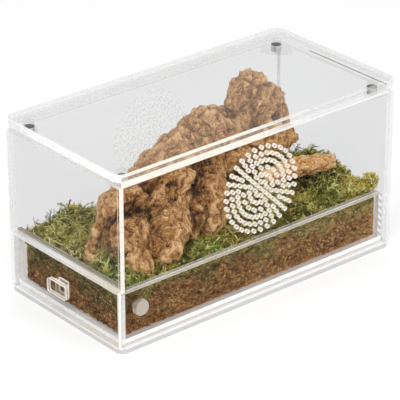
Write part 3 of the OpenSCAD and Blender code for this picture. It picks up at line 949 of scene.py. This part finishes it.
small_log = new_mesh_object("small_branch", limb_tube(log_limb, LOG_RINGS, LOG_SIDES),
                            skin_faces(LOG_RINGS, LOG_SIDES))
roughen_wood(small_log, [log_limb], LOG_VOXEL, LOG_RELIEF)
small_log.data.materials.append(wood_finish("split_branch_wood", LOG_TONES, LOG_HOLLOW_SHADE))
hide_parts("small_log")


# Substrate
# Coconut fibre and soil packed into the tray to 44 mm, seen through the tray's clear sides:
# a lumpy body pressed flat by the acrylic, with loose fibres lying against it.
SOIL_LOW = np.array([-140.7, -65.1, 9.6])
SOIL_HIGH = np.array([139.5, 65.1, SUBSTRATE_TOP])
SOIL_VOXEL = 1.7
SOIL_PITS = 0.9
# Points along each thin ribbon, such as a fibre or a stem
STATIONS = 4
FIBRE_COUNT = 15000
FIBRE_REACH = 0.12
FIBRES_OVER_TOP = 4.5
FIBRE_LENGTHS, FIBRE_WIDTHS = (1.5, 6.5), (0.25, 0.75)
# Spread of the fibres' slope and of their bend, in radians
FIBRE_SLOPE, FIBRE_BEND = 0.9, 0.5
# Share of the fibres on the front, the back, the drawer end and the right end
FIBRE_SHARES = [0.36, 0.3, 0.17, 0.17]
# The green zone of roots goes down to about this height, and deeper at the drawer end
ROOT_ZONE_Z, ROOT_ZONE_DEEPER, DRAWER_END_X = 37.0, 8.0, -139.0
SOIL_BROWNS = [(0.02, (0.1, 0.032, 0.006)), (0.35, (0.36, 0.14, 0.032)),
               (0.6, (0.58, 0.26, 0.074)), (0.97, (0.9, 0.56, 0.24))]
SOIL_GREENS = [(0.05, (0.1, 0.075, 0.014)), (0.5, (0.38, 0.29, 0.075)),
               (0.95, (0.7, 0.6, 0.21))]

rng = np.random.default_rng(7)


def ribbons(path, across, width):
    """Flat ribbons of quads along paths (count, stations, 3): path - half and path + half,
    where half is half the ribbon's width in its sideways direction."""
    count, stations = path.shape[:2]
    half = (across * (width / 2)[:, None])[:, None]
    points = np.concatenate([path - half, path + half], axis=1).reshape(-1, 3)
    first = (np.arange(count) * 2 * stations)[:, None] + np.arange(stations - 1)
    faces = np.stack([first, first + 1, first + 1 + stations, first + stations], axis=-1)
    return points, faces.reshape(-1, 4)


def soil_fibres():
    """Short curved ribbons that lie flat against the four sides of the substrate, and a number
    from 0 to 1 for each: u + s cos(turn + bend s) along the side, v + s sin(turn + bend s) up."""
    size = SOIL_HIGH - SOIL_LOW + [0, 0, FIBRES_OVER_TOP]
    side = rng.choice(4, FIBRE_COUNT, p=FIBRE_SHARES)
    along_x = side < 2
    u = rng.random(FIBRE_COUNT) * np.where(along_x, size[0] - 8, size[1] - 8) + 4
    v = rng.random(FIBRE_COUNT) * (size[2] - 4) + 2.5
    turn = rng.normal(0.0, FIBRE_SLOPE, FIBRE_COUNT)
    bend = rng.normal(0.0, FIBRE_BEND, FIBRE_COUNT)
    length = rng.uniform(*FIBRE_LENGTHS, FIBRE_COUNT)
    step = np.linspace(-0.5, 0.5, STATIONS)
    angle = turn[:, None] + bend[:, None] * step
    du = length[:, None] * step * np.cos(angle)
    dv = np.clip(v[:, None] + length[:, None] * step * np.sin(angle), 0.3, size[2] - 0.3)
    du = np.clip(u[:, None] + du, 0.3, np.where(along_x, size[0], size[1])[:, None] - 0.3)
    low, high = SOIL_LOW - FIBRE_REACH, SOIL_HIGH + FIBRE_REACH
    end_x = np.where(side == 2, low[0], high[0])[:, None]
    wall_y = np.where(side == 0, low[1], high[1])[:, None]
    x = np.where(along_x[:, None], SOIL_LOW[0] + du, end_x)
    y = np.where(along_x[:, None], wall_y, SOIL_LOW[1] + du)
    path = np.stack([x, y, SOIL_LOW[2] + dv], axis=-1)
    flat = np.stack([-np.sin(turn) * along_x, -np.sin(turn) * ~along_x, np.cos(turn)], axis=-1)
    width = rng.uniform(*FIBRE_WIDTHS, FIBRE_COUNT)
    return ribbons(path, flat, width), rng.random(FIBRE_COUNT)


def soil_finish(name):
    """Red-brown crumbs, pale fibres and dark gaps, the pits darkened by painted shade, paler
    towards the right, with a dull green zone of roots under the moss."""
    f = Finish(name)
    streak = f.noise(f.place((170.0, 170.0, 320.0), (0.2, 0.1, 0.0)), 1.0, 4.0, 0.6, 1.5)
    fine = f.noise(f.place((700.0, 700.0, 900.0)), 1.0, 3.0, 0.6)
    broad = f.noise(f.place((36.0, 36.0, 60.0)), 1.0, 3.0)
    # Paler towards the right end, by place alone
    paler_rightward = mm_along(f, X) * 0.0011
    mixed = (streak + fine - 0.5 + (broad - 0.5) * 0.9 + f.kept("tone") + paler_rightward).clamped()
    brown = f.node("ValToRGB", stops=SOIL_BROWNS, Fac=mixed)
    green = f.node("ValToRGB", stops=SOIL_GREENS, Fac=mixed)
    patch = f.noise(f.place((45.0, 45.0, 20.0)), 1.0, 3.0, 0.7)
    above = (mm_along(f, Z) - ROOT_ZONE_Z
             + ROOT_ZONE_DEEPER * (mm_along(f, X) < DRAWER_END_X))
    zone = (above * 0.06 + (patch - 0.5) * 4.2).ramp_between(-0.35, 0.55)
    colour = f.blend(zone * 0.85, brown, green)
    return f.done(f.node("BsdfPrincipled", Base_Color=colour, Roughness=0.9,
                         Normal=f.bump(mixed, 0.7, 0.8 * MM)))


soil_body = new_mesh_object("coconut_substrate", *box_points(SOIL_LOW, SOIL_HIGH))
soil_points = remeshed(soil_body, SOIL_VOXEL)
pits = np.clip(0.5 + layered(soil_points / 5.0, 70, 3), 0, 1.6) * SOIL_PITS
soil_points = np.clip(soil_points - normals_of(soil_body.data) * pits[:, None],
                      SOIL_LOW, SOIL_HIGH)
put_points(soil_body.data, soil_points)
# Deeper pits get a darker tone: painted shade in them
put_tone(soil_body.data, "tone", 0.12 - 0.3 * pits)
soil_look = soil_finish("coconut_soil")
soil_body.data.materials.append(soil_look)
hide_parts("substrate_bed")

(fibre_points, fibre_faces), fibre_tone = soil_fibres()
fibres = new_mesh_object("substrate_fibres", fibre_points, fibre_faces)
put_tone(fibres.data, "tone", np.repeat(fibre_tone * 0.85 - 0.32, 2 * STATIONS))
fibres.data.materials.append(soil_look)


# Moss mat
# Dried sheet moss laid over the substrate, deeper along the back wall and at the right end.
# It is one dark matted carpet that fills the tray from side to side and carries the sprigs;
# its darkness is partly its own colour and partly painted shade among the sprigs.
MOSS_TOP = 50.0
CARPET_SINK = 2.6
CARPET_PITCH = 1.5
CARPET_ROWS = 88
CARPET_ROUGH = 1.3
# The mat's tone, dark as painted shade among the sprigs, and its cut sides' tone, raised as
# painted light against the shade on them
MAT_TONE, CUT_TONE = 0.24, 0.4
MOSS_GREENS = [(0.0, (0.03, 0.027, 0.005)), (0.25, (0.12, 0.112, 0.014)),
               (0.5, (0.34, 0.3, 0.03)), (0.75, (0.64, 0.55, 0.09)), (1.0, (0.9, 0.84, 0.4))]
MOSS_BROWNS = [(0.05, (0.06, 0.028, 0.006)), (0.5, (0.42, 0.23, 0.06)),
               (1.0, (0.8, 0.56, 0.24))]
FRESH_GREENS = [(0.0, (0.015, 0.03, 0.004)), (0.5, (0.13, 0.22, 0.03)),
                (1.0, (0.45, 0.62, 0.16))]
# Mounds of moss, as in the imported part: [x, y, reach, height]
mounds = [[-122, 60, 24, 7], [-92, 60, 22, 10], [122, 6, 24, 14], [132, -22, 20, 10],
          [134, -48, 16, 6], [-118, -50, 20, 5], [60, -48, 34, 4], [66, 2, 26, 9]]
# Where the moss is yellower (above 0) or darker (below 0) than elsewhere: [x, y, reach, change].
# The dark patch at x 104, under the log, is painted shade.
moss_shades = [[-110, 50, 40, 0.2], [-132, 8, 20, -0.28], [104, -14, 22, -0.3],
               [122, 20, 20, 0.15], [128, -50, 15, 0.42], [60, -52, 34, -0.08],
               [20, -40, 25, -0.15]]


def moss_height(x, y):
    """The moss's top over the tray: flat moss, plus mounds h exp(-d^2 / reach^2), plus ripples."""
    z = MOSS_TOP + 0.8 * sin_deg(9 * x + 4 * y) + 0.7 * sin_deg(13 * y - 5 * x)
    for mx, my, reach, height in mounds:
        z = z + height * np.exp(-((x - mx)**2 + (y - my)**2) / reach**2)
    return z


def shade_at(x, y):
    """How much yellower or darker the moss is at a place, with patches 22 and 7 mm wide."""
    flat = np.stack([x, y, 0 * x], axis=-1)
    shade = 0.3 * wander(flat / 22 + 0.3, 81) + 0.3 * wander(flat / 7 + 0.7, 82)
    for sx, sy, reach, change in moss_shades:
        shade = shade + change * np.exp(-((x - sx)**2 + (y - sy)**2) / reach**2)
    return shade


def moss_carpet_mesh():
    """A closed slab: its top is the moss's height less the sink, plus fine noise, on a grid of
    x and y, and a wall round its border goes down to a flat floor."""
    x = np.arange(SOIL_LOW[X], SOIL_HIGH[X] + 0.1, CARPET_PITCH)
    y = np.linspace(SOIL_LOW[Y], SOIL_HIGH[Y], CARPET_ROWS)
    gx, gy = (g.ravel() for g in np.meshgrid(x, y))
    rough = CARPET_ROUGH * layered(np.stack([gx, gy, 0 * gx], 1) / 4, 83, 2)
    z = moss_height(gx, gy) - CARPET_SINK + rough
    top = np.stack([gx, gy, np.maximum(z, SUBSTRATE_TOP + 0.5)], axis=1)
    low = top * [1, 1, 0] + [0, 0, SUBSTRATE_TOP - 0.5]
    wide, deep = len(x), len(y)
    i, j = (g.ravel() for g in np.meshgrid(np.arange(wide - 1), np.arange(deep - 1)))
    a = j * wide + i
    up = np.stack([a, a + 1, a + 1 + wide, a + wide], axis=1)
    border = np.concatenate([np.arange(wide), np.arange(1, deep) * wide + wide - 1,
                             deep * wide - 2 - np.arange(wide - 1),
                             (deep - 2 - np.arange(deep - 2)) * wide])
    onward = np.roll(border, -1)
    under = wide * deep
    wall = np.stack([onward, border, border + under, onward + under], axis=1)
    return np.vstack([top, low]), np.vstack([up, up[:, ::-1] + under, wall])


def moss_finish(name):
    """Tone 0 is almost black green, 0.5 olive, 1 pale yellow-green. Patches are brown, and the
    share that the mesh keeps as fresh is a clearer green."""
    f = Finish(name)
    speck = f.noise(f.place((800.0, 800.0, 800.0)), 1.0, 2.0)
    patch = f.noise(f.place((70.0, 70.0, 70.0)), 1.0, 3.0, 0.6)
    shade = (f.kept("tone") + (speck - 0.5) * 0.5).clamped()
    green, brown, fresh = (f.node("ValToRGB", stops=stops, Fac=shade)
                           for stops in (MOSS_GREENS, MOSS_BROWNS, FRESH_GREENS))
    colour = f.blend(patch.ramp_between(0.54, 0.68) * 0.6, green, brown)
    colour = f.blend((f.kept("fresh") * 0.9).clamped(), colour, fresh)
    return f.done(f.node("BsdfPrincipled", Base_Color=colour, Roughness=0.75))


moss_look = moss_finish("sheet_moss")
carpet_points, carpet_faces = moss_carpet_mesh()
carpet = new_mesh_object("moss_mat", carpet_points, carpet_faces)
cut_side = ((np.abs(carpet_points[:, Y]) > SOIL_HIGH[Y] - 0.5)
            | (np.abs(carpet_points[:, X]) > SOIL_HIGH[X] - 1.5))
put_tone(carpet.data, "tone",
         np.where(cut_side, CUT_TONE, MAT_TONE) + 0.6 * shade_at(*carpet_points[:, :2].T))
carpet.data.materials.append(moss_look)
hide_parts("moss_carpet")


# Moss sprigs
# Thousands of leafy sprigs stand out of the mat, olive, brown or fresh green, and longer in
# thickets by the wood's feet and behind the log. They grew on the mat and dried with it.
SPRIG_PIECES = 4
SPRIGS_PER_PIECE = 6000
LEAVES = 15
GOLDEN_TURN = 2.4
DRAWER_PATH_Y = 65.2
# Shape and scale of how long the sprigs are, in mm, and the spreads of their tilt, bow and tone
SPRIG_LENGTHS = (4.0, 1.15)
SPRIG_TILT, SPRIG_BOW, SPRIG_TONES = 0.75, 0.3, 0.26
# Share of the sprigs that can be fresh green
FRESH_SHARE = 0.85
# Thickets of longer, fresher sprigs: [x, y, reach, longer, fresh]
thickets = [[-131, -34, 9, 2.4, 1.0], [-128, -57, 9, 0.7, 1.0], [-66, -58, 12, 0.7, 0.9],
            [-38, -54, 12, 0.8, 0.9], [100, -46, 12, 0.5, 0.8], [110, 8, 14, 1.1, 0.1],
            [128, -2, 10, 0.7, 0.4], [-96, 58, 16, 0.1, 0.3], [-124, 58, 12, -0.3, 0.3],
            [20, -56, 14, 0.3, 0.5]]


def thicket_at(x, y):
    """How much longer the sprigs are at a place, and the share of them that is fresh green."""
    near = [np.exp(-((x - tx)**2 + (y - ty)**2) / reach**2) for tx, ty, reach, *_ in thickets]
    return (sum(n * row[3] for n, row in zip(near, thickets)),
            sum(n * row[4] for n, row in zip(near, thickets)))


def outside_wood(points, margin):
    """True where a point is more than margin mm clear of every ball of the wood and the log."""
    clear = np.ones(len(points), bool)
    for limb in wood_limbs + [log_limb]:
        for bx, by, bz, radius in limb_balls(limb, COARSE_BALLS)[0]:
            clear &= ((points - [bx, by, bz])**2).sum(1) >= (radius + margin)**2
    return clear


def scatter_roots(count):
    """Places on the mat that the wood and the log leave free."""
    place = rng.uniform(SOIL_LOW[:2] + 0.5, SOIL_HIGH[:2] - 0.5, (count * 2, 2))
    root = np.column_stack([place, moss_height(*place.T) - CARPET_SINK])
    return root[outside_wood(root, -0.5)][:count]


def unit(v):
    """Vectors of length 1."""
    return v / np.linalg.norm(v, axis=-1, keepdims=True)


def sprig_points(root, way, length, bow):
    """Leafy sprigs as ribbons and triangles: a stem root + length (way s + bow s^2), and leaves
    set round it at golden-angle steps, each a triangle that points out and forward."""
    count = len(root)
    side = unit(np.cross(way, rng.normal(size=(count, 3))))
    other = np.cross(way, side)
    s = np.linspace(0, 1, STATIONS)[None, :, None]
    reach = length[:, None, None]
    stem, stem_faces = ribbons(root[:, None] + reach * (way[:, None] * s + bow[:, None] * s * s),
                               side, 0.22 + 0.02 * length)
    t = np.linspace(0.12, 1.0, LEAVES)[None, :, None]
    turn = (np.arange(LEAVES) * GOLDEN_TURN + rng.random((count, 1)) * 6.3)[..., None]
    out = side[:, None] * np.cos(turn) + other[:, None] * np.sin(turn)
    base = root[:, None] + reach * (way[:, None] * t + bow[:, None] * t * t)
    forward = unit(way[:, None] + 2 * bow[:, None] * t)
    leaf = (0.34 - 0.14 * t) * reach * rng.uniform(0.6, 1.3, (count, LEAVES, 1))
    tip = base + leaf * (0.8 * out + 0.6 * forward)
    half = np.cross(forward, out) * (0.16 * leaf + 0.08)
    leaves = np.stack([base - half, base + half, tip], axis=2).reshape(-1, 3)
    leaf_faces = len(stem) + np.arange(len(leaves)).reshape(-1, 3)
    return np.vstack([stem, leaves]), stem_faces.tolist() + leaf_faces.tolist()


def each_sprig(values):
    """One value a sprig, for all of its stem's and leaves' points."""
    return np.concatenate([np.repeat(values, 2 * STATIONS), np.repeat(values, 3 * LEAVES)])


def sprig_tones(tone):
    """Each sprig's tone for its stem's and leaves' points, lighter towards the tips, with the
    darker bases as painted shade among the sprigs.
    """
    stem = tone[:, None] + np.tile(np.linspace(-0.16, 0.06, STATIONS), 2)
    tips = np.tile([0.0, 0.0, 0.08], LEAVES) + np.repeat(np.linspace(-0.2, 0.1, LEAVES), 3)
    return np.concatenate([stem.ravel(), (tone[:, None] + tips).ravel()])


def loose_moss(name, points, faces, tone):
    """A piece on the mat, pressed back by the tray and by the drawer's way out of the case."""
    inside = np.clip(points, [SOIL_LOW[X], -DRAWER_PATH_Y, SUBSTRATE_TOP - 1],
                     [SOIL_HIGH[X] + 0.1, DRAWER_PATH_Y, WOOD_CEILING])
    obj = new_mesh_object(name, inside, faces)
    put_tone(obj.data, "tone", tone)
    obj.data.materials.append(moss_look)
    return obj


for piece in range(SPRIG_PIECES):
    root = scatter_roots(SPRIGS_PER_PIECE)
    count = len(root)
    tilt = rng.normal(0.0, SPRIG_TILT, (count, 2))
    way = unit(np.column_stack([tilt, np.ones(count)]))
    longer, fresh = thicket_at(*root[:, :2].T)
    length = rng.gamma(*SPRIG_LENGTHS, count) * (1 + longer)
    bow = np.column_stack([rng.normal(0, SPRIG_BOW, (count, 2)),
                           rng.uniform(-0.45, 0.0, count)])
    points, faces = sprig_points(root, way, length, bow)
    tone = 0.5 + rng.normal(0, SPRIG_TONES, count) + shade_at(*root[:, :2].T)
    sprigs = loose_moss(f"moss_sprigs_{piece + 1}", points, faces, sprig_tones(tone))
    put_tone(sprigs.data, "fresh", each_sprig(fresh * (rng.random(count) < FRESH_SHARE)))


# Moss strands
# Long bare stems of the moss, straw pale and curled, that lie loose over the sprigs and dip
# into the mat at both ends.
STRANDS = 1100
STRAND_STATIONS = 12
STRAND_CURL = 1.6
# Shape and scale of how long they are, and how high and how wide, in mm
STRAND_LENGTHS, STRAND_LIFTS, STRAND_WIDTHS = (7.0, 2.6), (0.4, 2.6), (0.45, 0.95)
# Middle and spread of their tone
STRAND_TONES = (0.78, 0.14)


def strand_points(root, heading, curl, length, lift, width):
    """Ribbons that follow the moss's top: (x, y) is the sum of steps at heading + curl s, and
    z = moss height - 0.4 + lift sin(pi s)."""
    s = np.linspace(0, 1, STRAND_STATIONS)
    angle = heading[:, None] + curl[:, None] * s
    x = root[:, :1] + np.cumsum(length[:, None] * np.cos(angle), 1) / STRAND_STATIONS
    y = root[:, 1:2] + np.cumsum(length[:, None] * np.sin(angle), 1) / STRAND_STATIONS
    z = moss_height(x, y) - 0.4 + lift[:, None] * np.sin(np.pi * s)
    middle = heading + curl / 2
    across = np.column_stack([-np.sin(middle), np.cos(middle), 0 * middle])
    return ribbons(np.stack([x, y, z], axis=-1), across, width)


root = scatter_roots(STRANDS)
count = len(root)
strands = strand_points(root, rng.uniform(0, 2 * np.pi, count),
                        rng.normal(0, STRAND_CURL, count), rng.gamma(*STRAND_LENGTHS, count),
                        rng.uniform(*STRAND_LIFTS, count), rng.uniform(*STRAND_WIDTHS, count))
loose_moss("moss_strands", *strands,
           np.repeat(rng.normal(*STRAND_TONES, count), 2 * STRAND_STATIONS))


# Bare twigs
# Thin dark twigs, each forked twice, that stick up from the moss by the back wall and behind
# the log, where they came with the moss.
TWIG_SPOTS = [[-130.0, 58.0], [-118.0, 60.0], [-104.0, 60.0], [137.0, -11.0]]
TWIGS_PER_SPOT = 6
TWIG_SPREAD = [5.0, 2.0]
TWIG_LEAN, FORK_LEAN = 0.9, 0.7
TWIG_LENGTHS = (7.0, 12.0)
TWIG_WIDTH = 0.6
TWIG_TONE = 0.16
# Where the stem and its two forks start along the twig, and how long each is, as shares
FORKS = ((0.0, 1.0), (0.35, 0.55), (0.6, 0.4))

spots = np.repeat(TWIG_SPOTS, TWIGS_PER_SPOT, axis=0)
spots = spots + rng.normal(0, TWIG_SPREAD, spots.shape)
root = np.column_stack([spots, moss_height(*spots.T)])
way = unit(np.column_stack([rng.normal(0, TWIG_LEAN, (len(root), 2)), np.ones(len(root))]))
stems, length = [], rng.uniform(*TWIG_LENGTHS, len(root))
for start, share in FORKS:
    turned = unit(way + (start > 0) * rng.normal(0, FORK_LEAN, way.shape))
    s = np.linspace(0, share, STATIONS)[None, :, None] * length[:, None, None]
    stems.append((root + start * length[:, None] * way)[:, None] + turned[:, None] * s)
stems = np.concatenate(stems)
twigs = ribbons(stems, unit(rng.normal(size=(len(stems), 3))), np.full(len(stems), TWIG_WIDTH))
loose_moss("bare_twigs", *twigs, np.full(len(twigs[0]), TWIG_TONE))


# Curled leaf
# One dried olive leaf, rolled up along its length, that lies on the moss by the back wall.
# It is loose, and paler towards its right end.
LEAF_SIDES = 14
LEAF_TONES = (0.62, 0.86)
leaf_roll = [[-100, 58, 67.5, 1.6], [-94, 58, 65.0, 2.3], [-87, 58, 60.5, 1.9]]
loose_moss("curled_leaf", limb_tube(leaf_roll, LEAF_SIDES, LEAF_SIDES),
           skin_faces(LEAF_SIDES, LEAF_SIDES), np.linspace(*LEAF_TONES, LEAF_SIDES**2))


# Yellow tuft
# A rounded tuft of brighter, bushy moss in the right front corner, pushed in over the tray's
# edge, with a tail of single sprigs along the moss behind it.
TUFT = np.array([138.8, -59.5, 60.5])
TUFT_CORE = 4.0
TUFT_SPRIGS = 420
TUFT_LENGTH = 5.0
TUFT_FLOOR, TUFT_END_X = 50.7, 144.3
TUFT_BOW = 0.2
# Middle and spread of the sprigs' tone
TUFT_TONES = (0.5, 0.3)
TAIL, TAIL_SPREAD, TAIL_LEAN = (127.0, -51.0), (6.0, 5.0), 0.7
TAIL_SPRIGS = 260
TUFT_GOLDS = [(0.0, (0.09, 0.06, 0.002)), (0.3, (0.42, 0.31, 0.006)),
              (0.55, (0.92, 0.78, 0.04)), (0.85, (1.0, 0.98, 0.5))]


def tuft_finish(name):
    """Golden green, dark between the sprigs by painted shade, and pale at their tips."""
    f = Finish(name)
    colour = f.node("ValToRGB", stops=TUFT_GOLDS, Fac=f.kept("tone").clamped())
    return f.done(f.node("BsdfPrincipled", Base_Color=colour, Roughness=0.7))


way = unit(rng.normal(size=(TUFT_SPRIGS, 3)))
tail = rng.normal(TAIL, TAIL_SPREAD, (TAIL_SPRIGS, 2))
root = np.vstack([TUFT + way * TUFT_CORE, np.column_stack([tail, moss_height(*tail.T) - 0.5])])
way = np.vstack([way, unit(rng.normal((0.0, 0.0, 1.0), TAIL_LEAN, (TAIL_SPRIGS, 3)))])
count = len(root)
length = rng.uniform(0.5, 1.0, count) * TUFT_LENGTH
points, faces = sprig_points(root, way, length, rng.normal(0, TUFT_BOW, (count, 3)))
points = np.clip(points, [-np.inf, -DRAWER_PATH_Y, TUFT_FLOOR], [TUFT_END_X, np.inf, np.inf])
tuft = new_mesh_object("yellow_tuft", points, faces)
put_tone(tuft.data, "tone", sprig_tones(rng.normal(*TUFT_TONES, count)))
tuft.data.materials.append(tuft_finish("yellow_bush_moss"))
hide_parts("yellow_moss_tuft")
